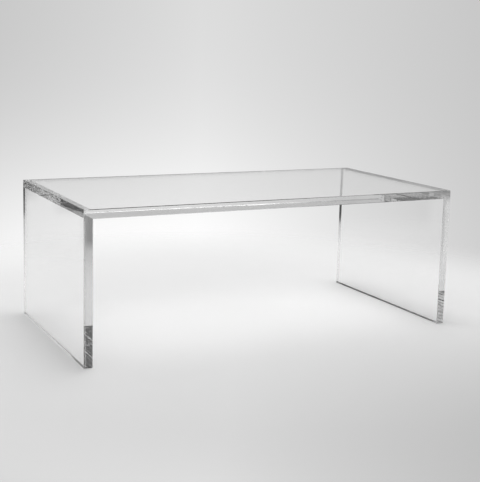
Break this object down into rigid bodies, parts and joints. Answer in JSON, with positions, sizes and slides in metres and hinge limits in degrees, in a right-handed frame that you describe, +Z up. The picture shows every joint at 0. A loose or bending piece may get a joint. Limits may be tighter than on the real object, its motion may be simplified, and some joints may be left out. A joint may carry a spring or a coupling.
{
  "type": "coffee table",
  "caption": "Low clear acrylic table made of a flat top and full-depth panel legs, joined in sharp mitred corners with polished bevelled edges.",
  "frame": {"origin": "on the floor, midway between the legs' outer faces and midway between the front and back edges", "axes": "+X along the table's length to the right as seen from the front, +Y from the front edge to the back edge, +Z up"},
  "size_m": [1.2, 0.6, 0.43],
  "materials": {
    "clear_acrylic": "clear cast acrylic, polished on every face and edge",
    "cured_cement": "clear cured acrylic cement, flush with the sheets"
  },
  "bodies": {
    "root": {"top_panel": "clear_acrylic", "left_leg_panel": "clear_acrylic", "right_leg_panel": "clear_acrylic", "left_mitre_cement": "cured_cement", "right_mitre_cement": "cured_cement"}
  },
  "joints": []
}
